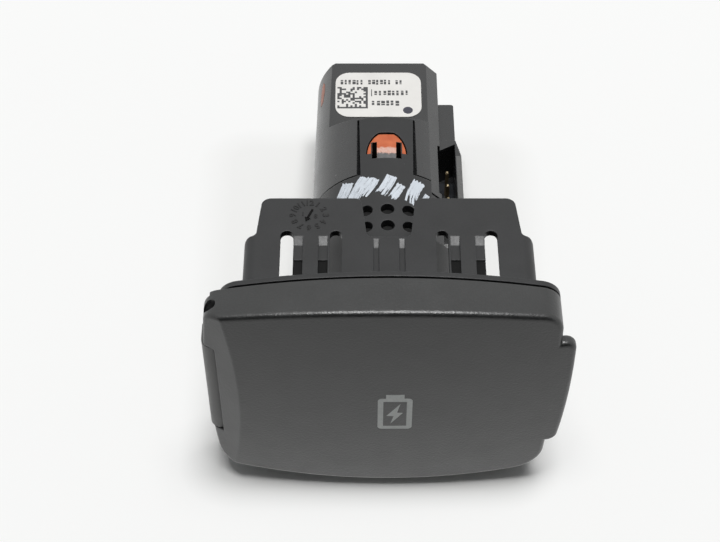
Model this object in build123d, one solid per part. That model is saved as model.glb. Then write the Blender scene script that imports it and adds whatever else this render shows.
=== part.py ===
from build123d import *
import math
import os

# Vehicle USB charging port module with a hinged door.
# Millimetres. X runs to the right seen from the front, Y into the panel, Z up.
# Y = 0 is the rear face of the bezel flange, which seats on the vehicle's panel.
# X = 0 and Z = 0 are the axis of the socket barrel.

# Bezel flange and door outline
outline_half_width = 34.5
outline_half_height = 30.0
long_edge_drop = 3.8
short_edge_bow = 0.4
outline_taper = 0.5
outline_corner = 5.0
lower_corner = 6.0
flange_thickness = 1.2
web_thickness = 0.8

# Door
door_gap = 0.5
door_depth = 10.76
crown_radius = 280.0
door_wall = 1.8
door_edge_round = 1.2
hinge_edge_bow = 1.5
hinge_corner = 3.5
hinge_lower_corner = 6.0
door_lower_corner = 8.0
pull_stand = 3.2
pull_low = -16.0
pull_high = 18.5
pull_taper = 1.2
pull_bow = 0.55
pull_overlap = 6.0
pull_thickness = 3.0
pull_corner = 2.4
pull_round = 1.1

# Hinge on the left edge
hinge_offset = 1.5
hinge_skin = 0.1
hinge_y = -5.0
knuckle_radius = 2.4
knuckle_low = -14.3
knuckle_high = 14.5
knuckle_gap = 0.25
knuckle_clearance = 0.35
seam_offset = 0.5
bevel_angle = 31.0
bevel_reach = 12.0
bevel_round = 1.0
pin_radius = 1.0
pin_running = 0.03
pin_half_length = 21.0
pin_end_play = 0.3
pin_recess_radius = 1.3
hinge_base_overlap = 2.0
hinge_base_corner = 1.0

# Skirt behind the flange
skirt_half_width = 29.75
skirt_half_height = 26.5
skirt_wall = 1.5
skirt_corner = 2.5
side_wall_depth = 12.4
plate_step = 2.4
plate_taper = 1.0
plate_depth = 22.7
plate_rear_corner = 2.0
notch_half_width = 5.7
notch_floor_half_width = 4.5
notch_floor = 12.1

# Openings in the plates
slot_front = 1.6
slot_rear = 13.7
outer_slot_x = 20.95
outer_slot_width = 2.7
inner_slot_x = 10.9
inner_slot_width = 2.5
finger_groove_centres = (13.5, 18.6)
finger_groove_width = 2.0
finger_groove_rear = 12.3
finger_ramp_length = 1.9
finger_groove_depth = 0.8
finger_window_rear = 6.4
finger_skin = 0.45
rib_groove_x = 2.65
rib_groove_width = 1.2
rib_groove_rear = 11.6

# Barrel
barrel_radius = 17.2
barrel_wall = 1.8
barrel_end = 39.0
collar_front = -5.8
collar_chamfer = 0.8
round_zone_setback = 0.7
vent_radius = 1.5
vent_pitch = 4.67
vent_rear_row = 28.05
vent_columns = 3

# Flat side that keys the module in the barrel
key_step_x = 9.9
key_step_z = 10.2
key_flat_x = 12.6
key_flat_z = 7.4

# Latch tongue and its window
tongue_half_width = 5.8
tongue_tip_half_width = 6.1
tongue_end = 56.2
slit_width = 0.9
window_half_width = 4.6
window_base = 44.9
window_arch = 6.3
window_arch_cut = 0.5
window_mouth_half_width = 3.3
window_mouth_depth = 1.6

# Module case
case_clearance = 0.2
case_wall = 1.5
joint_gap = 0.55
case_end = 81.3
case_end_radius = 16.2
case_front_radius = 17.0
case_end_chamfer = 0.6
pad_height = 10.2
pad_front = 59.6
pad_roof_lead = 6.0
pad_slope = 24.0

# Connector on the module's right side
shroud_rear = 59.5
shroud_flare = 54.5
shroud_outer_x = 17.6
shroud_inner_x = 16.2
shroud_rear_outer_x = 16.4
shroud_top = 6.0
shroud_bottom = -8.0
pocket_left = 12.0
pocket_front = 41.2
pocket_rear = 55.9
pocket_slant = 2.4
pocket_floor = -5.2
rear_box_end = 72.4
rear_box_top = 5.0
terminal_count = 3
terminal_first_y = 44.4
terminal_pitch = 4.1
terminal_x = 14.4
terminal_width = 0.8
terminal_top = 2.6
terminal_leg_drop = 1.4
terminal_root_inset = 2.2

# Latch catch under the window
catch_clearance = 0.25
catch_rise = 1.6
catch_base_thickness = 1.2
catch_margin = 1.1
catch_slot_width = 1.1
catch_lug_half_width = 2.15
catch_slot_rear = 48.6
catch_ramp_rear = 46.7

# Electronics
face_front = -4.5
face_thickness = 2.0
board_thickness = 1.6
board_front = -2.0
board_end = 74.0
board_side_gap = 0.7
rail_front = 3.5
rail_thickness = 0.9
rail_reach = 1.3
rail_clearance = 0.1
port_width = 13.2
port_height = 5.7
port_wall = 0.35
port_depth = 14.4
port_window_margin = 0.15
insulator_depth = 4.5
insulator_tongue_width = 11.2
insulator_tongue_thickness = 1.8
insulator_tongue_setback = 1.5
contact_count = 4
contact_pitch = 2.5
contact_width = 1.2
contact_thickness = 0.25
spring_slot_width = 0.5
spring_half_width = 1.1
spring_front = 3.0
spring_length = 5.0

# Parts on the board, each placed by its centre
inductor_size = 10.0
inductor_height = 5.0
inductor_y = 20.5
inductor_chamfer = 1.2
capacitor_x = -4.0
input_capacitor_y = 33.0
output_capacitor_y = 41.0
capacitor_base = 6.6
capacitor_base_height = 0.8
capacitor_radius = 3.15
capacitor_height = 7.0
controller_size = 6.0
controller_height = 1.1
controller_y = 65.0

# Label on the pad
label_width = 20.3
label_length = 14.9
label_centre_x = -1.6
label_centre_y = 70.5
label_corner = 3.4
label_thickness = 0.12

# Charging mark on the door
mark_x = 1.35
mark_z = -1.9
mark_half_width = 3.6
mark_half_height = 5.6
mark_line = 1.15
mark_corner = 0.9
mark_cap_half_width = 1.9
mark_cap_height = 1.3
mark_inlay_depth = 0.3
bolt_points = (
    (1.1, 3.7),
    (-1.75, -0.65),
    (-0.25, -0.75),
    (-0.9, -3.6),
    (1.65, 0.45),
    (0.45, 0.55),
)

# Sizes worked out from the driving dimensions
flange_front = -flange_thickness
door_rim = flange_front - door_gap
crown_front = door_rim - door_depth
hinge_x = -outline_half_width - hinge_offset
door_reach_left = -hinge_x + knuckle_radius + hinge_skin
pull_reach = outline_half_width + pull_stand
plate_half_width = skirt_half_width - plate_step
plate_rear_half_width = plate_half_width - plate_taper
round_zone_end = plate_depth - round_zone_setback
case_start = barrel_end + joint_gap
nose_inset = barrel_wall + case_clearance
cavity_inset = nose_inset + case_wall
nose_radius = barrel_radius - nose_inset
cavity_radius = barrel_radius - cavity_inset
board_left = board_side_gap - cavity_radius
board_right = key_flat_x - cavity_inset - board_side_gap
board_top = board_thickness / 2
far = 200.0


def along_x(outline, low, high):
    """Extrude an outline drawn in Y and Z along X."""
    return extrude(Plane.YZ.offset(low) * outline, amount=high - low, dir=(1, 0, 0))


def along_y(outline, low, high):
    """Extrude an outline drawn in X and Z along Y."""
    return extrude(Plane.XZ.offset(-low) * outline, amount=high - low, dir=(0, 1, 0))


def along_z(outline, low, high):
    """Extrude an outline drawn in X and Y along Z."""
    return extrude(Plane.XY.offset(low) * outline, amount=high - low, dir=(0, 0, 1))


def block(x_range, y_range, z_range):
    """A box between two values on each axis."""
    size = [high - low for low, high in (x_range, y_range, z_range)]
    centre = [(high + low) / 2 for low, high in (x_range, y_range, z_range)]
    return Pos(*centre) * Box(*size)


def polygon(*points):
    return Polygon(*points, align=None)


def round_corners(face, corners):
    """Fillet the named corners of a flat outline, given as (x, y, radius)."""
    for x, y, radius in corners:
        corner = min(face.vertices(), key=lambda v: math.hypot(v.X - x, v.Y - y))
        face = fillet(corner, radius)
    return face


def arched_outline(left, left_bow, left_corners, right_lower, inset=0):
    """Long edges arched, short edges nearly straight and closer below, corners rounded."""
    w = outline_half_width - inset
    low_w = w - outline_taper
    low_left = left - outline_taper
    top = outline_half_height - inset
    h = top - long_edge_drop
    left_h = top - long_edge_drop * (left / outline_half_width) ** 2
    half_taper = outline_taper / 2
    edges = ThreePointArc((-left, left_h), (0, top), (w, h))
    edges += ThreePointArc((w, h), (w + short_edge_bow - half_taper, 0), (low_w, -h))
    edges += ThreePointArc((low_w, -h), (0, -top), (-low_left, -left_h))
    edges += ThreePointArc((-low_left, -left_h), (-left - left_bow + half_taper, 0), (-left, left_h))
    left_upper, left_lower = left_corners
    corners = [(w, h, outline_corner - inset), (low_w, -h, right_lower - inset)]
    corners += [(-left, left_h, left_upper), (-low_left, -left_h, left_lower)]
    return round_corners(make_face(edges), corners)


def bezel_outline(inset=0):
    """The flange outline, shrunk by inset."""
    left_corners = (outline_corner - inset, lower_corner - inset)
    left = outline_half_width - inset
    return arched_outline(left, short_edge_bow, left_corners, lower_corner, inset)


def door_outline():
    """The flange's outline, drawn out on the left to take in the hinge."""
    left_corners = (hinge_corner, hinge_lower_corner)
    left = door_reach_left - hinge_edge_bow
    return arched_outline(left, hinge_edge_bow, left_corners, door_lower_corner)


def door_hollow():
    """The space inside the door, a wall's thickness in from its outline and front."""
    left_corners = (outline_corner - door_wall, lower_corner - door_wall)
    left = outline_half_width - door_wall
    outline = arched_outline(left, short_edge_bow, left_corners, door_lower_corner, door_wall)
    return along_y(outline, crown_front, door_rim + 1) & crown_ball(door_wall)


def keyed_section(radius, inset):
    """A round section whose right side steps down to a flat, shrunk by inset."""
    slope = (key_flat_z - key_step_z) / (key_flat_x - key_step_x)
    shift = inset * math.hypot(1, slope)
    step_x = key_step_x - inset
    flat_x = key_flat_x - inset
    step_z = key_step_z + slope * (step_x - key_step_x) - shift
    flat_z = key_step_z + slope * (flat_x - key_step_x) - shift
    outside = polygon(
        (step_x, far),
        (step_x, step_z),
        (flat_x, flat_z),
        (flat_x, -flat_z),
        (step_x, -step_z),
        (step_x, -far),
        (far, -far),
        (far, far),
    )
    return Circle(radius - inset) - outside


def crown_ball(inset):
    """The ball whose surface is the door's crowned front, shrunk by inset."""
    return Pos(0, crown_front + crown_radius, 0) * Sphere(crown_radius - inset)


def bevel_tangent():
    """Where the bevel plane touches the hinge knuckle."""
    angle = math.radians(bevel_angle)
    x = hinge_x - knuckle_radius * math.sin(angle)
    y = hinge_y - knuckle_radius * math.cos(angle)
    return x, y


def door_plan():
    """The door seen from above: hinge barrel, bevel and everything to the right."""
    x, y = bevel_tangent()
    bevel_end = (x + bevel_reach, y - bevel_reach * math.tan(math.radians(bevel_angle)))
    web = polygon(
        (hinge_x, door_rim),
        (hinge_x, hinge_y),
        (x, y),
        bevel_end,
        (far / 2, bevel_end[1]),
        (far / 2, door_rim),
    )
    return web + Pos(hinge_x, hinge_y) * Circle(knuckle_radius)


def pull_tab():
    """The finger pull on the right edge, which carries the crowned front on."""
    inner = outline_half_width - pull_overlap
    low_reach = pull_reach - pull_taper
    middle = ((pull_reach + low_reach) / 2 + pull_bow, (pull_high + pull_low) / 2)
    edges = Polyline((low_reach, pull_low), (inner, pull_low), (inner, pull_high), (pull_reach, pull_high))
    edges += ThreePointArc((pull_reach, pull_high), middle, (low_reach, pull_low))
    corners = [(low_reach, pull_low, pull_corner), (pull_reach, pull_high, pull_corner)]
    plan = round_corners(make_face(edges), corners)
    skin = crown_ball(0) - crown_ball(pull_thickness)
    tab = along_y(plan, crown_front - 1, door_rim) & skin
    rounded = [face for face in tab.faces() if face.geom_type == GeomType.SPHERE]
    rim = [edge for face in rounded for edge in face.edges()]
    outer = [edge for edge in rim if edge.center().X > outline_half_width - pull_overlap + 0.5]
    return fillet(outer, pull_round)


def make_door():
    outline = door_outline()
    shell = along_y(outline, crown_front - 1, door_rim) & crown_ball(0)
    front = [face for face in shell.faces() if face.geom_type == GeomType.SPHERE]
    shell = fillet(front[0].edges(), door_edge_round)
    shell = shell & along_z(door_plan(), -far / 4, far / 4)
    arcs = shell.edges().filter_by(GeomType.CIRCLE)
    creases = [edge for edge in arcs if edge.length > outline_half_height]
    bevel_crease = min(creases, key=lambda edge: edge.center().X)
    shell = fillet(bevel_crease, bevel_round)
    shell += pull_tab()
    hollow_left = hinge_x + knuckle_radius + knuckle_clearance + door_wall
    shell -= door_hollow() & block((hollow_left, far / 4), (-far / 8, far / 8), (-far / 4, far / 4))
    low = knuckle_low - knuckle_gap
    high = knuckle_high + knuckle_gap
    pocket_radius = knuckle_radius + knuckle_clearance
    pocket = Pos(hinge_x, hinge_y) * Circle(pocket_radius)
    pocket += polygon(
        (hinge_x - far, far),
        (hinge_x + pocket_radius, far),
        (hinge_x + pocket_radius, hinge_y),
        (hinge_x + seam_offset, hinge_y),
        (hinge_x + seam_offset, -far),
        (hinge_x - far, -far),
    )
    shell -= along_z(pocket, low, high)
    bore = Pos(hinge_x, hinge_y) * Circle(pin_radius + pin_running)
    shell -= along_z(bore, -pin_half_length - pin_end_play, far / 4)
    recess = Pos(hinge_x, hinge_y) * Circle(pin_recess_radius)
    shell -= along_z(recess, pin_half_length, far / 4)
    return shell - mark_solid()


def mark_outline():
    """A battery with a bolt inside it, drawn in X and Z."""
    outer = RectangleRounded(2 * mark_half_width, 2 * mark_half_height, mark_corner)
    inner = Rectangle(2 * (mark_half_width - mark_line), 2 * (mark_half_height - mark_line))
    cap = Pos(0, mark_half_height + mark_cap_height / 2)
    cap *= Rectangle(2 * mark_cap_half_width, mark_cap_height)
    bolt = polygon(*bolt_points)
    return Pos(mark_x, mark_z) * (outer - inner + cap + bolt)


def mark_solid():
    """The charging mark as an inlay flush with the crowned front."""
    skin = crown_ball(0) - crown_ball(mark_inlay_depth)
    return along_y(mark_outline(), crown_front - 1, crown_front + 2) & skin


def skirt_plan():
    """The skirt and its plates seen from above, with the rear notch."""
    w = skirt_half_width
    d = side_wall_depth
    p = plate_half_width
    r = plate_rear_half_width
    n = notch_half_width
    f = notch_floor_half_width
    right = [
        (w, 0),
        (w, d),
        (p, d),
        (r, plate_depth),
        (n, plate_depth),
        (f, notch_floor),
    ]
    left = [(-x, y) for x, y in reversed(right)]
    corners = [
        (w, d, 1.3),
        (p, d, 1.0),
        (r, plate_depth, plate_rear_corner),
        (n, plate_depth, 1.5),
        (f, notch_floor, 1.2),
    ]
    corners += [(-x, y, radius) for x, y, radius in corners]
    return round_corners(polygon(*right, *left), corners)


def plate_slot(x, width):
    """A slot through the top plate with a square front and a round rear end."""
    length = slot_rear - width / 2 - slot_front
    slot = Pos(x, slot_front + length / 2) * Rectangle(width, length)
    slot += Pos(x, slot_front + length) * Circle(width / 2)
    return along_z(slot, skirt_half_height - 2 * skirt_wall, skirt_half_height + 1)


def ramped_groove(x, width, rear):
    """A groove in the top plate whose rear end ramps up to the surface."""
    top = skirt_half_height + 0.5
    floor = skirt_half_height - finger_groove_depth
    profile = polygon(
        (web_thickness, top),
        (web_thickness, floor),
        (rear - finger_ramp_length, floor),
        (rear, skirt_half_height),
        (rear, top),
    )
    return along_x(profile, x - width / 2, x + width / 2)


def plate_cuts():
    """Everything cut through or into the top plate."""
    cuts = []
    for side in (-1, 1):
        cuts.append(plate_slot(side * outer_slot_x, outer_slot_width))
        cuts.append(plate_slot(side * inner_slot_x, inner_slot_width))
        for centre in finger_groove_centres:
            x = side * centre
            half = finger_groove_width / 2
            cuts.append(ramped_groove(x, finger_groove_width, finger_groove_rear))
            recess = (skirt_half_height - skirt_wall + finger_skin, skirt_half_height + 1)
            window = block((x - half, x + half), (slot_front, finger_window_rear), recess)
            cuts.append(window)
        cuts.append(ramped_groove(side * rib_groove_x, rib_groove_width, rib_groove_rear))
    return cuts


def skirt():
    size = (2 * skirt_half_width, 2 * skirt_half_height)
    inner_size = [value - 2 * skirt_wall for value in size]
    ring = RectangleRounded(*size, skirt_corner)
    ring -= RectangleRounded(*inner_size, skirt_corner - skirt_wall)
    tube = along_y(ring, 0, plate_depth)
    tube = tube & along_z(skirt_plan(), -far / 4, far / 4)
    for cut in plate_cuts():
        tube = tube - cut - mirror(cut, about=Plane.XY)
    web = along_y(RectangleRounded(*size, skirt_corner), 0, web_thickness)
    return tube + web


def window_outline(inset):
    """The arched latch window seen from above, shrunk by inset."""
    rise = window_arch + window_arch_cut - inset
    arch = Pos(0, window_base) * Ellipse(window_half_width - inset, rise)
    span = window_arch - 2 * inset
    arch = arch & Pos(0, window_base + inset + span / 2) * Rectangle(far, span)
    mouth_low = window_base - window_mouth_depth + inset
    mouth_high = window_base + inset
    mouth = Pos(0, (mouth_low + mouth_high) / 2)
    mouth *= Rectangle(2 * (window_mouth_half_width - inset), mouth_high - mouth_low)
    return arch + mouth


def tongue_plan(margin, start, end):
    """The latch tongue seen from above, widened by margin."""
    near = tongue_half_width + margin
    tip = tongue_tip_half_width + (margin if margin < slit_width else slit_width / 2)
    return polygon((-near, start), (near, start), (tip, end), (-tip, end))


def latch_tongue():
    ring = Circle(barrel_radius) - Circle(barrel_radius - barrel_wall)
    tongue = along_y(ring, barrel_end - 1, tongue_end)
    tongue = tongue & along_z(tongue_plan(0, barrel_end - 1, tongue_end), 0, far)
    return tongue - along_z(window_outline(0), 0, far)


def vents():
    holes = []
    for row in range(2):
        y = vent_rear_row - row * vent_pitch
        for column in range(vent_columns):
            x = (column - (vent_columns - 1) / 2) * vent_pitch
            holes.append(along_z(Pos(x, y) * Circle(vent_radius), 0, far / 4))
    return holes


def make_bezel():
    flange = along_y(bezel_outline(), flange_front, 0)
    base = block(
        (hinge_x - knuckle_radius, hinge_base_overlap - outline_half_width),
        (flange_front, 0),
        (knuckle_low, knuckle_high),
    )
    corners = base.edges().filter_by(Axis.Y).group_by(Axis.X)[0]
    flange += fillet(corners, hinge_base_corner)
    body = flange + skirt()
    body += along_y(Circle(barrel_radius), collar_front, round_zone_end)
    body += along_y(keyed_section(barrel_radius, 0), round_zone_end, barrel_end)
    mouth_edges = body.faces().sort_by(Axis.Y)[0].edges()
    body = chamfer(mouth_edges, collar_chamfer)
    body -= along_y(keyed_section(barrel_radius, barrel_wall), collar_front - 1, barrel_end + 1)
    for vent in vents():
        body = body - vent - mirror(vent, about=Plane.XY)
    body += latch_tongue()
    knuckle = Pos(hinge_x, hinge_y) * Circle(knuckle_radius)
    knuckle += polygon(
        (hinge_x - knuckle_radius, hinge_y),
        (hinge_x + knuckle_radius * 0.6, hinge_y),
        (hinge_x + knuckle_radius * 0.6, flange_front),
        (hinge_x - knuckle_radius, flange_front),
    )
    body += along_z(knuckle, knuckle_low, knuckle_high)
    bore = Pos(hinge_x, hinge_y) * Circle(pin_radius)
    return body - along_z(bore, knuckle_low - 1, knuckle_high + 1)


def make_hinge_pin():
    pin = along_z(Pos(hinge_x, hinge_y) * Circle(pin_radius), -pin_half_length, pin_half_length)
    return chamfer(pin.edges().filter_by(GeomType.CIRCLE), 0.2)


def terminals():
    """Flat connector terminals, from the board down and out to the pocket."""
    half = terminal_width / 2
    leg_low = pocket_floor - terminal_leg_drop
    leg_high = leg_low + terminal_width
    root_x = board_right - terminal_root_inset
    pins = []
    for index in range(terminal_count):
        y = terminal_first_y + index * terminal_pitch
        across = (y - half, y + half)
        root = block((root_x - half, root_x + half), across, (leg_low, -board_top))
        leg = block((root_x - half, terminal_x + half), across, (leg_low, leg_high))
        blade = block((terminal_x - half, terminal_x + half), across, (leg_low, terminal_top))
        tip = blade.faces().sort_by(Axis.Z)[-1].edges()
        pins.append(root + leg + chamfer(tip, 0.2))
    return pins


def connector_shroud():
    inner = key_flat_x - 1.0
    plan = polygon(
        (inner, case_start),
        (shroud_outer_x, case_start),
        (shroud_outer_x, shroud_flare),
        (shroud_rear_outer_x, shroud_rear),
        (inner, shroud_rear),
    )
    body = along_z(plan, shroud_bottom, shroud_top)
    rear_box = block(
        (inner, shroud_rear_outer_x),
        (shroud_rear - 1, rear_box_end),
        (shroud_bottom, rear_box_top),
    )
    uprights = rear_box.edges().filter_by(Axis.Z).group_by(Axis.Y)[-1].sort_by(Axis.X)[-1]
    body += fillet(uprights, 0.6)
    pocket = polygon(
        (pocket_left, pocket_front),
        (shroud_inner_x, pocket_front),
        (shroud_inner_x, pocket_rear + pocket_slant),
        (pocket_left, pocket_rear),
    )
    return body, along_z(pocket, pocket_floor, far / 4)


def case_hollow():
    """The space for the board and its parts."""
    section = keyed_section(barrel_radius, cavity_inset)
    hollow = along_y(section, face_front, case_end - case_wall)
    pad_roof = block(
        (-far, far),
        (pad_front - pad_roof_lead, far),
        (pad_height - case_wall, far),
    )
    return hollow - pad_roof


def board_rails():
    """Two pairs of rails that hold the board by its long edges."""
    near = board_top + rail_clearance
    rails = []
    for z_range in ((near, near + rail_thickness), (-near - rail_thickness, -near)):
        left = (-cavity_radius - 0.5, board_left + rail_reach)
        right = (board_right - rail_reach, key_flat_x - cavity_inset + 0.5)
        rails.append(block(left, (rail_front, board_end), z_range))
        rails.append(block(right, (rail_front, board_end), z_range))
    return rails


def make_module_case():
    length = case_end - case_start
    upright = (Align.CENTER, Align.CENTER, Align.MIN)
    cone = Cone(case_front_radius, case_end_radius, length, align=upright)
    cone = Pos(0, case_start, 0) * Rot(-90, 0, 0) * cone
    body = along_y(keyed_section(case_front_radius + 1, 0), case_start, case_end) & cone
    body = chamfer(body.faces().sort_by(Axis.Y)[-1].edges(), case_end_chamfer)
    slope = (barrel_radius - pad_height + 1) * math.tan(math.radians(pad_slope))
    pad_cut = polygon(
        (pad_front, pad_height),
        (pad_front - slope, barrel_radius + 1),
        (far, barrel_radius + 1),
        (far, pad_height),
    )
    body -= along_x(pad_cut, -far / 2, far / 2)
    nose = keyed_section(barrel_radius, nose_inset)
    body += along_y(nose, face_front + face_thickness, case_start + 0.5)
    channel_start = case_start - 1
    channel_end = tongue_end + joint_gap
    channel = along_y(Circle(far / 4) - Circle(nose_radius), channel_start, channel_end)
    body -= channel & along_z(tongue_plan(slit_width, channel_start, channel_end), 0, far)
    shroud, pocket = connector_shroud()
    body += shroud
    body -= pocket
    body -= case_hollow()
    for rail in board_rails():
        body += rail
    for pin in terminals():
        body -= pin
    return body - along_z(window_outline(catch_clearance / 2), 0, far)


def make_latch_catch():
    """The bright catch that fills the window: a saddle with an arched boss."""
    outer = cavity_radius - 0.1
    half = window_half_width + catch_margin
    low = window_base - window_mouth_depth - catch_margin
    high = window_base + window_arch + catch_margin
    saddle = along_y(Circle(outer) - Circle(outer - catch_base_thickness), low, high)
    saddle = saddle & block((-half, half), (low, high), (0, far))
    boss = along_z(window_outline(catch_clearance), outer - 1, far)
    boss = boss & along_y(Circle(nose_radius + catch_rise), low, high)
    for side in (-1, 1):
        x = side * (catch_lug_half_width + catch_slot_width / 2)
        half_slot = catch_slot_width / 2
        slot = block((x - half_slot, x + half_slot), (low - 1, catch_slot_rear), (0, far))
        boss -= slot
        saddle -= slot
    top = nose_radius + catch_rise
    ramp = polygon(
        (window_base - window_mouth_depth, nose_radius + 0.2),
        (catch_ramp_rear, top),
        (catch_ramp_rear, top + 1),
        (low, top + 1),
        (low, nose_radius + 0.2),
    )
    lug = catch_lug_half_width
    boss -= along_x(ramp, -lug, lug)
    return saddle + boss


def port_centre(level):
    return level * (board_top + port_height / 2)


def port_window(level):
    size = (port_width + 2 * port_window_margin, port_height + 2 * port_window_margin)
    window = Pos(0, port_centre(level)) * RectangleRounded(*size, 0.6)
    return along_y(window, face_front - 1, face_front + 3 * face_thickness)


def make_faceplate():
    plate = along_y(keyed_section(barrel_radius, nose_inset), face_front, face_front + face_thickness)
    plate = chamfer(plate.faces().sort_by(Axis.Y)[0].edges(), 0.4)
    inner = cavity_inset + 0.05
    lip = along_y(
        keyed_section(barrel_radius, inner) - keyed_section(barrel_radius, inner + 1.2),
        face_front + face_thickness,
        face_front + face_thickness + 1.5,
    )
    plate += lip
    return plate - port_window(1) - port_window(-1)


def make_port_shell(level):
    """A folded metal shell, open at the front."""
    outer = RectangleRounded(port_width, port_height, 0.5)
    inner = RectangleRounded(port_width - 2 * port_wall, port_height - 2 * port_wall, 0.2)
    tube = along_y(Pos(0, port_centre(level)) * (outer - inner), face_front, face_front + port_depth)
    z_range = sorted((port_centre(level), port_centre(level) + level * port_height))
    y_range = (face_front + spring_front, face_front + spring_front + spring_length)
    for spring_x in (-port_width / 4, port_width / 4):
        for side in (-1, 1):
            near = spring_x + side * spring_half_width
            x_range = sorted((near, near + side * spring_slot_width))
            tube -= block(x_range, y_range, z_range)
    return tube


def make_port_insulator(level):
    """The plastic block at the back of a port, with the contact tongue."""
    centre = port_centre(level)
    half_width = port_width / 2 - port_wall - 0.05
    half_height = port_height / 2 - port_wall - 0.05
    rear = face_front + port_depth
    body = block(
        (-half_width, half_width),
        (rear - insulator_depth, rear),
        (centre - half_height, centre + half_height),
    )
    tongue_outer = centre + level * half_height
    tongue_inner = tongue_outer - level * insulator_tongue_thickness
    tongue = block(
        (-insulator_tongue_width / 2, insulator_tongue_width / 2),
        (face_front + insulator_tongue_setback, rear - insulator_depth),
        sorted((tongue_outer, tongue_inner)),
    )
    return body + tongue


def make_port_contacts(level):
    """Four contact strips under the tongue."""
    centre = port_centre(level)
    half_height = port_height / 2 - port_wall - 0.05
    surface = centre + level * (half_height - insulator_tongue_thickness)
    rear = face_front + port_depth - insulator_depth
    strips = []
    for index in range(contact_count):
        x = (index - (contact_count - 1) / 2) * contact_pitch
        strips.append(
            block(
                (x - contact_width / 2, x + contact_width / 2),
                (face_front + insulator_tongue_setback + 1, rear),
                sorted((surface, surface - level * contact_thickness)),
            )
        )
    return Compound(children=strips)


def make_board():
    board = block(
        (board_left, board_right),
        (board_front, board_end),
        (-board_top, board_top),
    )
    front = board.edges().filter_by(Axis.Z).group_by(Axis.Y)[0]
    return chamfer(front, 1.5)


def board_block(x, y, size, height):
    """A square part standing on the board."""
    half = size / 2
    return block((x - half, x + half), (y - half, y + half), (board_top, board_top + height))


def make_inductor():
    coil = board_block(0, inductor_y, inductor_size, inductor_height)
    coil = chamfer(coil.edges().filter_by(Axis.Z), inductor_chamfer)
    return fillet(coil.faces().sort_by(Axis.Z)[-1].edges(), 0.5)


def make_capacitor(y):
    """A can capacitor on its square base."""
    base = board_block(capacitor_x, y, capacitor_base, capacitor_base_height)
    can_low = board_top + capacitor_base_height
    can = along_z(Pos(capacitor_x, y) * Circle(capacitor_radius), can_low, board_top + capacitor_height)
    return base + chamfer(can.faces().sort_by(Axis.Z)[-1].edges(), 0.4)


def make_controller():
    chip = board_block(0, controller_y, controller_size, controller_height)
    return chamfer(chip.faces().sort_by(Axis.Z)[-1].edges(), 0.25)


def make_label():
    outline = RectangleRounded(label_width, label_length, label_corner)
    centre = Pos(label_centre_x, label_centre_y)
    return along_z(centre * outline, pad_height, pad_height + label_thickness)


def write_parts():
    parts = {
        "bezel_housing": make_bezel(),
        "door": make_door(),
        "door_mark": mark_solid(),
        "hinge_pin": make_hinge_pin(),
        "module_case": make_module_case(),
        "latch_catch": make_latch_catch(),
        "usb_faceplate": make_faceplate(),
        "circuit_board": make_board(),
        "power_inductor": make_inductor(),
        "input_capacitor": make_capacitor(input_capacitor_y),
        "output_capacitor": make_capacitor(output_capacitor_y),
        "controller_chip": make_controller(),
        "connector_terminals": Compound(children=terminals()),
        "label": make_label(),
    }
    for name, level in (("upper", 1), ("lower", -1)):
        parts["usb_shell_" + name] = make_port_shell(level)
        parts["usb_insulator_" + name] = make_port_insulator(level)
        parts["usb_contacts_" + name] = make_port_contacts(level)
    os.makedirs("parts", exist_ok=True)
    for name, shape in parts.items():
        export_step(shape, os.path.join("parts", name + ".step"))


write_parts()
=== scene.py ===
import math
import random

import bpy
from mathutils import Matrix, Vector, noise


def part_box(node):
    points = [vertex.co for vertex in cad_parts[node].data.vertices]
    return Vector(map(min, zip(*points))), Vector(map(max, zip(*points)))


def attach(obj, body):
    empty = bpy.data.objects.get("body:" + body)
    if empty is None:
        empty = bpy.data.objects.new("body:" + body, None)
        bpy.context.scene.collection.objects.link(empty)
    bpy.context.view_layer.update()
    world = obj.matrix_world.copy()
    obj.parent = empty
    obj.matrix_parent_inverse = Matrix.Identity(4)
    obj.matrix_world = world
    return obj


# Vehicle USB charging port module: finishes, label print, paint marks, light and camera.
# Lengths are in metres, in the frame of the solids: X right seen from the front,
# Y into the panel, Z up.

MM = 0.001


# Sizes of the solids that ink and paint follow

barrel_radius = 17.2 * MM
case_front_y = 39.55 * MM
case_end_y = 81.3 * MM
case_front_radius = 17.0 * MM
case_end_radius = 16.2 * MM
plate_top = 26.5 * MM


# Ink and paint: how far clear of the solid they stand, and how fine their outlines are

ink_gap = 0.004 * MM
paint_step = 0.13 * MM


# Zones of the finishes, some of them painted shade or painted light: ranges of X, Y and Z in
# millimetres, counted without their sign

finger_windows = (12.4, 19.7), (1.5, 6.5), (25.3, 26.35)
hinge_knuckle = (34.7, 40.0), (0.0, 9.0), (0.0, 26.0)
barrel_sides = (0.0, 17.4), (24.0, 60.0), (0.0, 17.4)
shroud_rim = (16.4, 17.7), (40.0, 54.5), (5.6, 6.2)
shroud_pocket = (11.9, 16.25), (41.0, 56.1), (0.0, 5.95)
case_nose = (0.0, 16.0), (12.0, 38.9), (0.0, 16.0)
catch_slots = (2.15, 3.5), (0.0, 48.7), (0.0, 20.0)


# Colours that more than one thing has

module_black = (0.0115, 0.0118, 0.0124)
# A painted highlight: the grey that lightens the hinge knuckle and the shroud's rim.
painted_highlight_grey = (0.10, 0.10, 0.098)
studio_white = (0.98, 0.985, 0.98)


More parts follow.
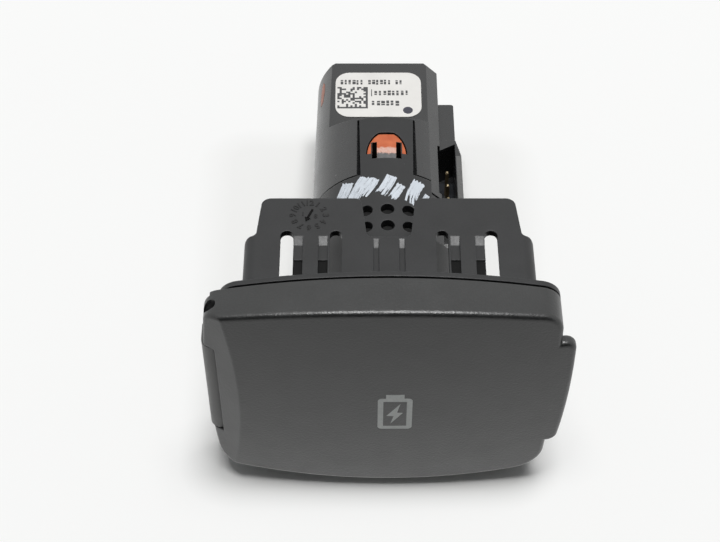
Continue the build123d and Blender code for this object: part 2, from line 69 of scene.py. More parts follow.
class Shader:
    """A material put together round one Principled BSDF."""

    def __init__(self, name):
        self.material = bpy.data.materials.new(name)
        self.material.use_nodes = True
        self.tree = self.material.node_tree
        self.bsdf = self.tree.nodes["Principled BSDF"]
        self.place = self.add("ShaderNodeTexCoord").outputs["Object"]

    def add(self, kind, **values):
        """A new node. A value sets the node's own option, or else the input of that name."""
        node = self.tree.nodes.new(kind)
        for name, value in values.items():
            if hasattr(node, name):
                setattr(node, name, value)
            else:
                node.inputs[name.replace("_", " ")].default_value = value
        return node

    def link(self, output, target):
        self.tree.links.new(output, target)

    def set(self, **values):
        for name, value in values.items():
            self.bsdf.inputs[name.replace("_", " ")].default_value = value

    def surface(self, colour, roughness):
        self.link(colour, self.bsdf.inputs["Base Color"])
        self.link(roughness, self.bsdf.inputs["Roughness"])

    def noise(self, size, detail=2.0, stretch=(1, 1, 1)):
        """Noise with blobs of about the given size."""
        mapping = self.add("ShaderNodeMapping")
        mapping.inputs["Scale"].default_value = stretch
        self.link(self.place, mapping.inputs["Vector"])
        node = self.add("ShaderNodeTexNoise", Scale=1 / size, Detail=detail)
        self.link(mapping.outputs["Vector"], node.inputs["Vector"])
        return node.outputs["Fac"]

    def remap(self, value, low, high, to_low, to_high):
        node = self.add("ShaderNodeMapRange", From_Min=low, From_Max=high, To_Min=to_low, To_Max=to_high)
        self.link(value, node.inputs["Value"])
        return node.outputs["Result"]

    def spread(self, value, low, high):
        """Noise, most of which is between 0.3 and 0.7, brought to the range from low to high."""
        return self.remap(value, 0.3, 0.7, low, high)

    def math(self, operation, a, b):
        node = self.add("ShaderNodeMath", operation=operation)
        for socket, value in zip(node.inputs, (a, b)):
            if isinstance(value, (int, float)):
                socket.default_value = value
            else:
                self.link(value, socket)
        return node.outputs["Value"]

    def mix(self, factor, a, b):
        """Two colours, each a tuple or an output, mixed by a factor."""
        node = self.add("ShaderNodeMix", data_type="RGBA")
        sockets = [s for s in node.inputs if s.enabled]
        for socket, value in zip(sockets, (factor, a, b)):
            if isinstance(value, tuple):
                socket.default_value = (*value, 1.0)
            else:
                self.link(value, socket)
        return next(s for s in node.outputs if s.enabled)

    def axis(self, name):
        """The place along X, Y or Z."""
        node = self.add("ShaderNodeSeparateXYZ")
        self.link(self.place, node.inputs["Vector"])
        return node.outputs[name]

    def distance(self, axis, middle=0.0):
        """How far a place is from a middle along one axis."""
        offset = self.math("SUBTRACT", self.axis(axis), middle) if middle else self.axis(axis)
        return self.math("ABSOLUTE", offset, 0.0)

    def inside(self, zone):
        """A mask of the places in a zone."""
        mask = 1.0
        for axis, (low, high) in zip("XYZ", zone):
            place = self.distance(axis)
            mask = self.math("MULTIPLY", self.math("GREATER_THAN", place, low * MM), mask)
            mask = self.math("MULTIPLY", self.math("LESS_THAN", place, high * MM), mask)
        return mask

    def dust(self):
        """A mask of sparse specks."""
        node = self.add("ShaderNodeTexVoronoi", Scale=1 / (7 * MM))
        self.link(self.place, node.inputs["Vector"])
        frayed = self.spread(self.noise(0.2 * MM), -0.02, 0.02)
        ragged = self.math("ADD", node.outputs["Distance"], frayed)
        return self.remap(ragged, 0.03, 0.015, 0.0, 0.7)

    def rounded(self, radius):
        """The normal with small rounded edges, and a mask that is 1 on those edges."""
        bevel = self.add("ShaderNodeBevel", samples=6, Radius=radius)
        face = self.add("ShaderNodeNewGeometry")
        dot = self.add("ShaderNodeVectorMath", operation="DOT_PRODUCT")
        self.link(bevel.outputs["Normal"], dot.inputs[0])
        self.link(face.outputs["Normal"], dot.inputs[1])
        edge = self.remap(dot.outputs["Value"], 0.99, 0.8, 0.0, 1.0)
        return bevel.outputs["Normal"], edge

    def bump(self, height, distance, normal=None):
        node = self.add("ShaderNodeBump", Distance=distance)
        self.link(height, node.inputs["Height"])
        if normal is not None:
            self.link(normal, node.inputs["Normal"])
        self.link(node.outputs["Normal"], self.bsdf.inputs["Normal"])


def moulded_plastic(
    name,
    base,
    rough,
    grain,
    depth,
    edge_radius,
    edge_gain=1.5,
    gloss=0.5,
    painted_shade_zone=None,
    painted_light_zones=(),
    sleek=None,
    dusty=True,
):
    """Black moulded plastic: spark-eroded grain, faint cloudiness, paler edges that are partly wear and
    partly a painted highlight, specks of dust. The zone for hollows is painted near-black as shade, the
    zones with their own colours paint in light and highlights, and sleek is a zone that handling has
    polished on the left and the right."""
    s = Shader(name)
    s.set(Specular_IOR_Level=gloss)
    normal, edge = s.rounded(edge_radius)

    def shade(share):
        return tuple(c * share for c in base)

    clouds = s.remap(s.noise(11 * MM, 4.0), 0.35, 0.65, 0.0, 1.0)
    body = s.mix(clouds, shade(0.86), shade(1.16))
    speckle = s.noise(0.5 * MM, 3.0)
    body = s.mix(s.spread(speckle, 0.0, 0.22), body, shade(2.2))
    # Partly wear, partly a painted highlight: rounded edges are mixed towards a paler shade of the base.
    worn_and_highlit_edges = s.math("MULTIPLY", edge, s.remap(s.noise(2.5 * MM, 3.0), 0.3, 0.6, 0.1, 0.45))
    body = s.mix(worn_and_highlit_edges, body, shade(2.4 * edge_gain))
    if dusty:
        body = s.mix(s.dust(), body, (0.34, 0.34, 0.33))
    # Painted light: these zones get paler colours that stand in for highlights or for light reaching
    # into them.
    for zone, colour in painted_light_zones:
        body = s.mix(s.inside(zone), body, colour)
    patches = s.spread(s.noise(5 * MM, 3.0), rough * 0.9, rough * 1.12)
    rough_here = s.math("ADD", patches, s.spread(speckle, rough * -0.07, rough * 0.07))
    if sleek:
        polish = s.remap(s.distance("X"), 6 * MM, 13 * MM, 0.0, rough * 0.36)
        rough_here = s.math("SUBTRACT", rough_here, s.math("MULTIPLY", polish, s.inside(sleek)))
    # Painted shade: hollows in this zone are coloured near-black and made fully rough, in place of the
    # dark that light cannot reach.
    if painted_shade_zone:
        painted_shade_mask = s.inside(painted_shade_zone)
        body = s.mix(painted_shade_mask, body, (0.0012, 0.0012, 0.0012))
        rough_here = s.math("MAXIMUM", rough_here, painted_shade_mask)
    s.surface(body, rough_here)
    s.bump(s.noise(grain, 2.5), depth, normal)
    return s.material


def bezel_plastic():
    """The housing: satin, with a painted highlight on the hinge knuckle, painted shade in the finger
    windows and paler edges strengthened as a painted highlight, polished on the barrel's sides.
    """
    return moulded_plastic(
        "bezel_plastic",
        module_black,
        rough=0.42,
        grain=0.32 * MM,
        depth=0.02 * MM,
        edge_radius=0.35 * MM,
        edge_gain=3.0,
        gloss=0.46,
        painted_shade_zone=finger_windows,
        painted_light_zones=[(hinge_knuckle, painted_highlight_grey)],
        sleek=barrel_sides,
    )


def door_plastic():
    """The door: the coarsest grain, kept clean by hands."""
    return moulded_plastic(
        "door_plastic",
        (0.0125, 0.013, 0.013),
        rough=0.33,
        grain=0.42 * MM,
        depth=0.06 * MM,
        edge_radius=0.3 * MM,
        gloss=0.66,
        dusty=False,
    )


def case_plastic():
    """The module's case: smoother and shinier, with painted shade in the nose behind the vents, a
    painted highlight on the shroud's rim and paler painted light in the shroud's pocket.
    """
    return moulded_plastic(
        "case_plastic",
        module_black,
        rough=0.27,
        grain=0.25 * MM,
        depth=0.003 * MM,
        edge_radius=0.25 * MM,
        gloss=0.76,
        painted_shade_zone=case_nose,
        # The shroud's rim gets a painted highlight, and its pocket a paler colour as painted light.
        painted_light_zones=[(shroud_rim, painted_highlight_grey), (shroud_pocket, (0.03, 0.032, 0.036))],
    )


def inner_plastic():
    """The face and tongues of the sockets."""
    return moulded_plastic(
        "inner_plastic",
        (0.008, 0.008, 0.0085),
        rough=0.42,
        grain=0.2 * MM,
        depth=0.003 * MM,
        edge_radius=0.1 * MM,
    )


def ferrite():
    """Dull dark grey for the inductor and the chip."""
    return moulded_plastic(
        "ferrite",
        (0.025, 0.025, 0.027),
        rough=0.55,
        grain=0.15 * MM,
        depth=0.006 * MM,
        edge_radius=0.1 * MM,
    )


def clock_plastic(name, grey, rough, gloss):
    """Black for the raised numbers and the arrow of the date clock."""
    return moulded_plastic(
        name,
        (grey, grey, grey),
        rough,
        grain=0.3 * MM,
        depth=0.004 * MM,
        edge_radius=0.05 * MM,
        gloss=gloss,
    )


def mark_ink():
    """The grey charging mark: a thin even print on the grained door."""
    s = Shader("mark_ink")
    wear = s.remap(s.noise(0.6 * MM, 4.0), 0.35, 0.75, 0.0, 0.5)
    grey = s.mix(wear, (0.48, 0.50, 0.49), (0.35, 0.365, 0.36))
    s.surface(grey, s.spread(s.noise(0.4 * MM), 0.48, 0.62))
    s.bump(s.noise(0.35 * MM, 2.5), 0.012 * MM)
    return s.material


def catch_plastic():
    """Orange plastic, pale on the ramp from wear and a painted highlight, dark grey at its foot, with
    two slots painted near-black as shade and a painted highlight on its edges.
    """
    s = Shader("catch_orange")
    normal, edge = s.rounded(0.15 * MM)
    ragged = s.math("ADD", s.axis("Y"), s.spread(s.noise(0.7 * MM, 4.0), -0.25 * MM, 0.25 * MM))
    tint = s.spread(s.noise(2 * MM, 3.0), 0.0, 1.0)
    orange = s.mix(tint, (0.50, 0.105, 0.035), (0.62, 0.16, 0.06))
    # Partly wear, partly a painted highlight: the ramp between the slots turns pale.
    scratches = s.spread(s.noise(0.35 * MM, 4.0), 0.0, 1.0)
    scuffed_and_highlit = s.mix(scratches, (0.66, 0.29, 0.20), (0.66, 0.46, 0.39))
    ramp = s.remap(ragged, 47.1 * MM, 46.8 * MM, 0.0, 1.0)
    between_slots = s.math("LESS_THAN", s.distance("X"), 2.2 * MM)
    colour = s.mix(s.math("MULTIPLY", ramp, between_slots), orange, scuffed_and_highlit)
    foot = s.math("MULTIPLY", s.remap(ragged, 45.7 * MM, 45.4 * MM, 0.0, 1.0), between_slots)
    colour = s.mix(foot, colour, (0.06, 0.06, 0.062))
    # Painted shade: the two slots are coloured near-black.
    colour = s.mix(s.inside(catch_slots), colour, (0.006, 0.005, 0.005))
    # Painted highlight: the rounded edges are mixed towards a paler orange.
    colour = s.mix(s.math("MULTIPLY", edge, 0.3), colour, (0.95, 0.5, 0.3))
    s.surface(colour, s.spread(s.noise(1.5 * MM, 3.0), 0.48, 0.6))
    s.bump(s.noise(0.25 * MM, 2.0), 0.006 * MM, normal)
    return s.material


def label_film():
    """Warm white printed film with a soft sheen."""
    s = Shader("label_film")
    normal, edge = s.rounded(0.1 * MM)
    clouds = s.spread(s.noise(6 * MM, 3.0), 0.0, 1.0)
    body = s.mix(clouds, (0.765, 0.75, 0.72), (0.82, 0.805, 0.775))
    body = s.mix(s.math("MULTIPLY", edge, 0.5), body, (0.55, 0.54, 0.5))
    s.surface(body, s.spread(s.noise(3 * MM, 3.0), 0.38, 0.52))
    s.bump(s.noise(0.9 * MM, 3.0), 0.006 * MM, normal)
    return s.material


def label_ink(name, base):
    """Thermal print that breaks up a little."""
    s = Shader(name)
    gaps = s.remap(s.noise(0.22 * MM, 3.0), 0.52, 0.72, 0.0, 0.6)
    faded = tuple(c + 0.12 for c in base)
    s.surface(s.mix(gaps, base, faded), s.spread(s.noise(0.5 * MM), 0.45, 0.6))
    return s.material


def paint(name, thick, thin):
    """Brushed paint. The mesh's own streak value says where the brush ran dry."""
    s = Shader(name)
    streak = s.add("ShaderNodeAttribute", attribute_name="streak").outputs["Fac"]
    broken = s.math("ADD", streak, s.spread(s.noise(0.3 * MM, 4.0), -0.22, 0.22))
    dry = s.remap(broken, 0.45, 0.95, 0.0, 0.85)
    clouds = s.spread(s.noise(1.6 * MM, 3.0), 0.0, 1.0)
    body = s.mix(clouds, tuple(c * 0.9 for c in thick), thick)
    s.surface(s.mix(dry, body, thin), s.spread(s.noise(0.8 * MM, 3.0), 0.4, 0.6))
    s.bump(streak, 0.03 * MM)
    return s.material


def metal(name, base, rough, stretch):
    """Plated or drawn metal with a brushed grain along one axis."""
    s = Shader(name)
    normal, edge = s.rounded(0.06 * MM)
    s.set(Metallic=1.0)
    tint = s.spread(s.noise(2 * MM, 3.0), 0.0, 1.0)
    body = s.mix(tint, tuple(c * 0.85 for c in base), base)
    # Painted highlight: the rounded edges are mixed towards a pale colour.
    body = s.mix(s.math("MULTIPLY", edge, 0.4), body, (0.9, 0.88, 0.84))
    grain = s.noise(0.15 * MM, 2.0, stretch)
    s.surface(body, s.spread(grain, rough - 0.08, rough + 0.1))
    s.bump(grain, 0.004 * MM, normal)
    return s.material


def circuit_board():
    """Green solder mask with faint tracks and the glass weave under it."""
    s = Shader("solder_mask")
    tracks = s.add("ShaderNodeTexBrick", Scale=1 / (1.6 * MM), offset=0.35)
    tracks.inputs["Mortar Size"].default_value = 0.16
    tracks.inputs["Mortar Smooth"].default_value = 0.1
    tracks.inputs["Color1"].default_value = (0.012, 0.10, 0.035, 1)
    tracks.inputs["Color2"].default_value = (0.018, 0.125, 0.045, 1)
    tracks.inputs["Mortar"].default_value = (0.03, 0.19, 0.07, 1)
    s.link(s.place, tracks.inputs["Vector"])
    weave = s.spread(s.noise(0.3 * MM, 2.0, (1, 4, 1)), 0.0, 0.25)
    green = s.mix(weave, tracks.outputs["Color"], (0.04, 0.16, 0.06))
    s.surface(green, s.spread(s.noise(2 * MM), 0.25, 0.4))
    s.bump(tracks.outputs["Fac"], 0.02 * MM)
    return s.material


def dress_nodes(nodes):
    """Gives each solid its finish."""
    inner = inner_plastic()
    dull = ferrite()
    steel = metal("nickel_steel", (0.62, 0.61, 0.59), 0.3, (1, 6, 1))
    brass = metal("gold_flash", (0.45, 0.36, 0.22), 0.34, (1, 4, 1))
    can = metal("capacitor_can", (0.72, 0.72, 0.73), 0.34, (1, 1, 5))
    finishes = {
        "bezel_housing": bezel_plastic(),
        "door": door_plastic(),
        "door_mark": mark_ink(),
        "hinge_pin": metal("pin_steel", (0.42, 0.42, 0.43), 0.36, (1, 1, 8)),
        "module_case": case_plastic(),
        "latch_catch": catch_plastic(),
        "label": label_film(),
        "connector_terminals": brass,
        "usb_faceplate": inner,
        "circuit_board": circuit_board(),
        "power_inductor": dull,
        "controller_chip": dull,
        "input_capacitor": can,
        "output_capacitor": can,
    }
    for socket in ("upper", "lower"):
        finishes["usb_shell_" + socket] = steel
        finishes["usb_insulator_" + socket] = inner
        finishes["usb_contacts_" + socket] = brass
    for name, node in nodes.items():
        node.data.materials.clear()
        node.data.materials.append(finishes[name])


def mesh_object(name, vertices, faces, material):
    mesh = bpy.data.meshes.new(name)
    mesh.from_pydata([tuple(v) for v in vertices], [], faces)
    mesh.validate()
    mesh.materials.append(material)
    made = bpy.data.objects.new(name, mesh)
    bpy.context.scene.collection.objects.link(made)
    return made


def patch(name, field, u_range, v_range, surface, height, material, streak):
    """A thin closed layer of paint on a surface, wherever field(u, v) is above zero."""
    u_low, u_high = u_range
    v_low, v_high = v_range
    columns = math.ceil((u_high - u_low) / paint_step)
    rows = math.ceil((v_high - v_low) / paint_step)

    def place(i, j):
        return u_low + i * paint_step, v_low + j * paint_step

    values = {}
    for i in range(columns + 1):
        for j in range(rows + 1):
            values[i, j] = field(*place(i, j))
    places = []
    index = {}

    def vertex(i, j):
        key = (round(i, 6), round(j, 6))
        if key not in index:
            index[key] = len(places)
            places.append(place(i, j))
        return index[key]

    tops = []
    for i in range(columns):
        for j in range(rows):
            corners = [(i, j), (i + 1, j), (i + 1, j + 1), (i, j + 1)]
            outline = []
            for here, there in zip(corners, corners[1:] + corners[:1]):
                a, b = values[here], values[there]
                if a > 0:
                    outline.append(vertex(*here))
                if (a > 0) != (b > 0):
                    share = min(max(a / (a - b), 0.02), 0.98)
                    crossing = [h + (t - h) * share for h, t in zip(here, there)]
                    outline.append(vertex(*crossing))
            if len(outline) > 2:
                tops.append(outline)

    # A side of a face that no neighbour shares is on the rim, and gets a wall
    rim = {}
    for face in tops:
        for a, b in zip(face, face[1:] + face[:1]):
            if rim.pop((b, a), None) is None:
                rim[a, b] = True
    count = len(places)
    faces = tops + [[count + k for k in reversed(face)] for face in tops]
    faces += [[a, count + a, count + b, b] for a, b in rim]
    vertices = [surface(u, v, height) for u, v in places] + [surface(u, v, 0) for u, v in places]
    made = mesh_object(name, vertices, faces, material)
    attribute = made.data.attributes.new("streak", "FLOAT", "POINT")
    attribute.data.foreach_set("value", [streak(u, v) for u, v in places] * 2)
    return made


def on_barrel(x, y, height):
    """A point above the barrel's top, seen from above."""
    radius = barrel_radius + ink_gap + height
    return Vector((x, y, math.sqrt(radius * radius - x * x)))


class Stroke:
    """One pull of a flat brush from start to end, given in millimetres."""

    hair_pitch = 0.22 * MM
    hair_length = 2.6 * MM
    ragged_end = 0.55 * MM
    ragged_side = 0.14 * MM

    def __init__(self, start, end, width, seed, curve=0.0):
        self.start = Vector(start) * MM
        run = Vector(end) * MM - self.start
        self.length = run.length
        self.along = run.normalized()
        self.across = Vector((-self.along.y, self.along.x))
        self.width = width * MM
        self.curve = curve * MM
        self.seed = seed

    def place(self, u, v):
        """Lengths along and across the stroke."""
        offset = Vector((u, v)) - self.start
        t = offset.dot(self.along)
        bow = self.curve * math.sin(math.pi * min(max(t / self.length, 0), 1))
        return t, offset.dot(self.across) - bow

    def hairs(self, s, t):
        """Noise drawn out along the stroke, as bristles leave it."""
        return noise.noise(Vector((s / self.hair_pitch, t / self.hair_length, self.seed * 7.3)))

    def field(self, u, v):
        """Above zero where the stroke left paint."""
        t, s = self.place(u, v)
        reach = self.ragged_end * noise.noise(Vector((s / (0.35 * MM), 3.1, self.seed)))
        wander = self.ragged_side * noise.noise(Vector((t / (0.8 * MM), 9.0, self.seed)))
        side = self.width / 2 - abs(s) + wander
        inside = min(side, t + reach, self.length + reach - t)
        tail = max(0.0, t / self.length - 0.55) * 1.6
        return min(inside, (0.62 - tail - self.hairs(s, t)) * 0.5 * MM)

    def dryness(self, u, v):
        t, s = self.place(u, v)
        return 0.34 + 0.75 * self.hairs(s, t) + 0.25 * max(0.0, t / self.length - 0.3)


def paint_marks(material):
    """White brush marks across the barrel, in three clusters."""
    strokes = [
        Stroke((-8.6, 37.6), (-11.8, 30.8), 2.7, 1, 0.3),
        Stroke((-4.6, 37.9), (-7.9, 31.0), 2.9, 3, -0.2),
        Stroke((-2.6, 37.2), (-5.4, 32.6), 2.2, 4, 0.2),
        Stroke((1.1, 37.8), (-1.6, 32.4), 2.5, 6, 0.2),
        Stroke((3.2, 35.4), (1.0, 31.0), 2.0, 7),
        Stroke((7.2, 37.3), (4.9, 30.2), 2.6, 9, -0.3),
        Stroke((8.9, 34.2), (8.1, 32.2), 1.1, 10),
    ]

    def field(u, v):
        return max(stroke.field(u, v) for stroke in strokes)

    def dryness(u, v):
        return max(strokes, key=lambda stroke: stroke.field(u, v)).dryness(u, v)

    across = (-12.4 * MM, 9.6 * MM)
    along = (28.6 * MM, 39.0 * MM)
    thickness = 0.035 * MM
    made = patch("paint_marks", field, across, along, on_barrel, thickness, material, dryness)
    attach(made, "housing")


def on_case(angle_length, y, height):
    """A point on the case's left side, from its length round the case and its Y."""
    share = (y - case_front_y) / (case_end_y - case_front_y)
    radius = case_front_radius + share * (case_end_radius - case_front_radius)
    angle = angle_length / case_end_radius
    radius += ink_gap + height
    return Vector((-radius * math.cos(angle), y, radius * math.sin(angle)))


def orange_touch(material):
    """An orange inspection dab on the case's left side."""
    middle_angle = math.radians(24.5) * case_end_radius
    middle_y = 74.2 * MM
    half_length = 3.6 * MM
    half_width = 0.95 * MM
    slant = 0.35 * MM

    def field(u, v):
        y = (v - middle_y) / half_length
        x = (u - middle_angle - slant * y) / half_width
        ragged = 0.22 * noise.noise(Vector((u / (0.3 * MM), v / (1.2 * MM), 4.0)))
        return (1 - math.hypot(x, y) + ragged) * half_width

    def dryness(u, v):
        return 0.4 + 0.6 * noise.noise(Vector((u / (0.25 * MM), v / (2 * MM), 8.0)))

    around = (middle_angle - 2 * MM, middle_angle + 2 * MM)
    along = (middle_y - 5 * MM, middle_y + 5 * MM)
    thickness = 0.03 * MM
    made = patch("orange_touch", field, around, along, on_case, thickness, material, dryness)
    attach(made, "housing")


class Sheet:
    """Flat shapes gathered into one mesh on a level face."""

    def __init__(self, level, thickness):
        self.levels = (level, level + thickness)
        self.vertices = []
        self.faces = []

    def prism(self, outline):
        """Stands a flat outline, counter-clockwise in X and Y, on the sheet."""
        first = len(self.vertices)
        count = len(outline)
        for z in self.levels:
            self.vertices += [(x, y, z) for x, y in outline]
        self.faces.append([first + k for k in reversed(range(count))])
        self.faces.append([first + count + k for k in range(count)])
        for k in range(count):
            near = first + k
            far = first + (k + 1) % count
            self.faces.append([near, far, far + count, near + count])

    def bar(self, x0, y0, x1, y1):
        self.prism([(x0, y0), (x1, y0), (x1, y1), (x0, y1)])

    def disc(self, x, y, radius):
        sides = 40
        turns = [2 * math.pi * k / sides for k in range(sides)]
        self.prism([(x + radius * math.cos(a), y + radius * math.sin(a)) for a in turns])

    def object(self, name, material):
        return mesh_object(name, self.vertices, self.faces, material)


def word_bars(sheet, left, right, middle, height, groups, dice):
    """A row of small stacked blocks that stands where a line of print would be."""
    space = 0.9
    half_gap = 0.05
    pitch = (right - left) / (sum(groups) + space * (len(groups) - 1))
    low = middle - height / 2
    x = left
    for group in groups:
        for _ in range(group):
            start = x + pitch * dice.uniform(0.0, 0.12)
            end = x + pitch * dice.uniform(0.5, 0.82)
            split = dice.uniform(0.3, 0.7)
            foot = dice.uniform(0.0, 0.12)
            head = dice.uniform(0.88, 1.0)
            for share_low, share_high in ((foot, split - half_gap), (split + half_gap, head)):
                sheet.bar(start, low + height * share_low, end, low + height * share_high)
            x += pitch
        x += pitch * space


def code_block(sheet, left, low, size, cells, dice):
    """A square of random cells, framed on two sides."""
    cell = size / cells
    for row in range(cells):
        filled = [dice.random() < 0.5 or column == cells - 1 or row == 0 for column in range(cells)]
        column = 0
        while column < cells:
            if not filled[column]:
                column += 1
                continue
            start = column
            while column < cells and filled[column]:
                column += 1
            y = low + row * cell
            sheet.bar(left + start * cell, y, left + column * cell, y + cell)


def label_print(face, ink, dot_ink):
    """Bars, a block of cells and a dot on the label."""
    dice = random.Random(11)
    row_height = 1.7 * MM
    last_row_height = 1.8 * MM
    sheet = Sheet(face + ink_gap, 0.012 * MM)
    word_bars(sheet, -10.6 * MM, 4.4 * MM, 74.65 * MM, row_height, (6, 6, 2), dice)
    sheet.bar(-3.3 * MM, 69.9 * MM, -3.1 * MM, 72.2 * MM)
    word_bars(sheet, -2.6 * MM, 5.8 * MM, 71.0 * MM, row_height, (8,), dice)
    word_bars(sheet, -3.2 * MM, 3.5 * MM, 67.6 * MM, last_row_height, (6,), dice)
    code_block(sheet, -11.3 * MM, 65.8 * MM, 7.2 * MM, 14, dice)
    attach(sheet.object("label_print", ink), "housing")
    dot = Sheet(face + ink_gap, 0.014 * MM)
    dot.disc(5.3 * MM, 65.2 * MM, 1.15 * MM)
    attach(dot.object("label_dot", dot_ink), "housing")


def date_clock(material, hand_material):
    """The mould's date clock on the upper plate: twelve numbers round an arrow, two beside it."""
    sunk = 0.01 * MM
    centre = Vector((-16.5 * MM, 17.95 * MM, plate_top - sunk))
    ring = 3.35 * MM
    rise = 0.1 * MM
    ring_size = 1.9 * MM
    year_size = 1.5 * MM
    texts = []

    def number(word, size, place, turn):
        curve = bpy.data.curves.new("number", "FONT")
        curve.body = word
        curve.size = size
        curve.offset = 0.045 * MM
        curve.extrude = rise
        curve.align_x = "CENTER"
        curve.align_y = "CENTER"
        curve.resolution_u = 3
        text = bpy.data.objects.new("number", curve)
        bpy.context.scene.collection.objects.link(text)
        text.location = centre + place
        text.rotation_euler = (0, 0, turn)
        texts.append(text)

    for hour in range(1, 13):
        turn = math.radians(90 - 30 * hour)
        outward = Vector((math.cos(turn), math.sin(turn), 0))
        number(str(hour), ring_size, outward * ring, turn - math.pi / 2)
    number("1", year_size, Vector((-1.3 * MM, 0.35 * MM, 0)), 0)
    number("8", year_size, Vector((1.35 * MM, -0.3 * MM, 0)), 0)
    bpy.context.view_layer.update()
    graph = bpy.context.evaluated_depsgraph_get()
    sheet = Sheet(centre.z, 2 * rise)
    for text in texts:
        mesh = bpy.data.meshes.new_from_object(text.evaluated_get(graph))
        first = len(sheet.vertices)
        sheet.vertices += [text.matrix_world @ v.co for v in mesh.vertices]
        sheet.faces += [[first + k for k in face.vertices] for face in mesh.polygons]
        bpy.data.objects.remove(text)
        bpy.data.meshes.remove(mesh)

    along = Vector((-0.4, -0.92)).normalized()
    side = Vector((-along.y, along.x))
    middle = centre.to_2d()

    def arrow_point(forward, sideways):
        return tuple(middle + along * forward * MM + side * sideways * MM)

    shaft = (-1.7, 0.2), (-1.7, -0.2), (0.9, -0.2), (0.9, 0.2)
    head = (0.8, 0.62), (0.8, -0.62), (1.8, 0.0)
    hand = Sheet(centre.z, 2 * rise)
    hand.prism([arrow_point(*p) for p in shaft])
    hand.prism([arrow_point(*p) for p in head])
    hand.object("clock_hand", hand_material)
    sheet.object("date_clock", material)
    for name in ("clock_hand", "date_clock"):
        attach(bpy.data.objects[name], "housing")


def table_top():
    """Matt white, which takes the module's shadow. Away from the module's footprint it also glows for
    the camera, to be as pale as in the photograph, and what mirrors the table sees it white."""
    s = Shader("table_top")
    tint = s.mix(s.noise(90 * MM, 3.0), (0.90, 0.90, 0.885), (0.93, 0.93, 0.915))
    s.link(tint, s.bsdf.inputs["Base Color"])
    s.set(Roughness=0.75)

    def beyond(axis, middle, half):
        """How far a place lies outside the footprint along one axis."""
        return s.math("MAXIMUM", s.math("SUBTRACT", s.distance(axis, middle), half), 0.0)

    beyond_x = s.math("MULTIPLY", beyond("X", -3.5 * MM, 28 * MM), 0.65)
    beyond_y = beyond("Y", 34 * MM, 41 * MM)
    squares = s.math("ADD", s.math("POWER", beyond_x, 2.0), s.math("POWER", beyond_y, 2.0))
    away = s.math("SQRT", squares, 0.0)
    near = s.remap(away, 4 * MM, 10 * MM, 0.0, 0.6)
    far = s.remap(away, 10 * MM, 180 * MM, 0.0, 0.4)
    path = s.add("ShaderNodeLightPath").outputs
    seen = s.math("MULTIPLY", path["Is Camera Ray"], s.math("ADD", near, far))
    mirrored = s.math("MAXIMUM", path["Is Glossy Ray"], path["Is Transmission Ray"])
    mirrored = s.math("MULTIPLY", mirrored, s.remap(away, 20 * MM, 130 * MM, 1.0, 0.62))
    glow = s.add("ShaderNodeEmission", Strength=1.0)
    glow.inputs["Color"].default_value = (*studio_white, 1)
    mixer = s.add("ShaderNodeMixShader")
    s.link(s.math("MAXIMUM", seen, mirrored), mixer.inputs["Fac"])
    s.link(s.bsdf.outputs["BSDF"], mixer.inputs[1])
    s.link(glow.outputs["Emission"], mixer.inputs[2])
    s.link(mixer.outputs["Shader"], s.tree.nodes["Material Output"].inputs["Surface"])
    return s.material


def stage():
    """A pale table under the lower plate's rear edge and the case's end, tilted as the module lies."""
    plate_contact = Vector((0, 22.7 * MM, -26.55 * MM))
    case_contact = Vector((0, case_end_y, -16.25 * MM))
    slope = (case_contact - plate_contact).normalized()
    reach = 1.6
    corners = []
    for x, along in ((-reach, -reach), (reach, -reach), (reach, reach), (-reach, reach)):
        corners.append(plate_contact + slope * along + Vector((x, 0, 0)))
    table = mesh_object("table", corners, [[0, 1, 2, 3]], table_top())


def pale_room():
    """The world: dim where it lights, white where it is seen or mirrored."""
    world = bpy.data.worlds.new("pale_room")
    world.use_nodes = True
    tree = world.node_tree
    tree.nodes.clear()

    def background(colour, strength):
        node = tree.nodes.new("ShaderNodeBackground")
        node.inputs["Color"].default_value = (*colour, 1)
        node.inputs["Strength"].default_value = strength
        return node.outputs["Background"]

    def larger(a, b):
        node = tree.nodes.new("ShaderNodeMath")
        node.operation = "MAXIMUM"
        tree.links.new(a, node.inputs[0])
        tree.links.new(b, node.inputs[1])
        return node.outputs["Value"]

    path = tree.nodes.new("ShaderNodeLightPath").outputs
    looked_at = larger(path["Is Camera Ray"], path["Is Glossy Ray"])
    mixer = tree.nodes.new("ShaderNodeMixShader")
    tree.links.new(larger(looked_at, path["Is Transmission Ray"]), mixer.inputs["Fac"])
    tree.links.new(background((0.96, 0.98, 1.0), 0.23), mixer.inputs[1])
    tree.links.new(background(studio_white, 1.0), mixer.inputs[2])
    output = tree.nodes.new("ShaderNodeOutputWorld")
    tree.links.new(mixer.outputs["Shader"], output.inputs["Surface"])
    bpy.context.scene.world = world


def overhead_light():
    """A wide soft lamp a metre above the module."""
    light = bpy.data.lights.new("overhead", "AREA")
    light.shape = "RECTANGLE"
    light.size = 0.5
    light.size_y = 0.24
    light.energy = 8.6
    place = Vector((0.03, -0.04, 1.0))
    module = Vector((0, 0.03, 0))
    made = bpy.data.objects.new("overhead", light)
    made.location = place
    made.rotation_euler = (module - place).to_track_quat("-Z", "Y").to_euler()
    bpy.context.scene.collection.objects.link(made)


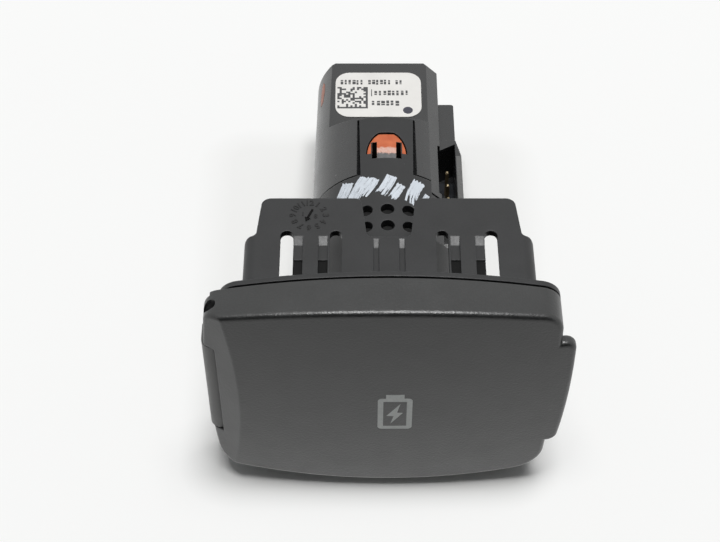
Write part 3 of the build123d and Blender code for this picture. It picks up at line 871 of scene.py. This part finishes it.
def dark_card():
    """A card in front of the module, unseen by the camera. The door's upper edge mirrors it, and it
    keeps the room's light off the table under the door."""
    half_width = 0.6
    lower = (-0.33, 0.0)
    upper = (-0.3, 0.75)
    s = Shader("dark_card")
    s.set(Base_Color=(0.02, 0.02, 0.02, 1), Roughness=1.0)
    corners = [(-half_width, *lower), (half_width, *lower), (half_width, *upper), (-half_width, *upper)]
    card = mesh_object("dark_card", corners, [[0, 1, 2, 3]], s.material)
    card.visible_camera = False
    card.visible_transmission = False


def camera():
    """The photograph's own view, worked out from the object's outline in it."""
    data = bpy.data.cameras.new("camera")
    data.lens = 78.5
    data.sensor_width = 36
    data.clip_start = 0.01
    data.clip_end = 20
    made = bpy.data.objects.new("camera", data)
    made.location = (-5.95 * MM, -198.26 * MM, 270.61 * MM)
    made.rotation_euler = (math.radians(39.5), 0, 0)
    bpy.context.scene.collection.objects.link(made)
    bpy.context.scene.camera = made


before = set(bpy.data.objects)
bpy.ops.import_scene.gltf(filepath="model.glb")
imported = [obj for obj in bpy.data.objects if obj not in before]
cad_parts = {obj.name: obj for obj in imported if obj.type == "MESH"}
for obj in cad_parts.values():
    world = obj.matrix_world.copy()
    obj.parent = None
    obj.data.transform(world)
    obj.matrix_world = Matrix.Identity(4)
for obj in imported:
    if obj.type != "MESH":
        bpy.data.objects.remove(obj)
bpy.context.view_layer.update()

camera()
dress_nodes(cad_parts)
label_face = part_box("label")[1].z
print_ink = label_ink("label_ink", (0.05, 0.05, 0.052))
dot_ink = label_ink("dot_ink", (0.032, 0.032, 0.048))
label_print(label_face, print_ink, dot_ink)
clock_relief = clock_plastic("clock_relief", 0.006, rough=0.6, gloss=0.36)
clock_black = clock_plastic("clock_black", 0.003, rough=0.7, gloss=0.1)
date_clock(clock_relief, clock_black)
paint_marks(paint("white_paint", (0.68, 0.73, 0.79), (0.16, 0.17, 0.19)))
orange_touch(paint("orange_paint", (0.42, 0.17, 0.12), (0.20, 0.09, 0.07)))
stage()
pale_room()
overhead_light()
dark_card()

bpy.context.scene.view_settings.view_transform = "Standard"
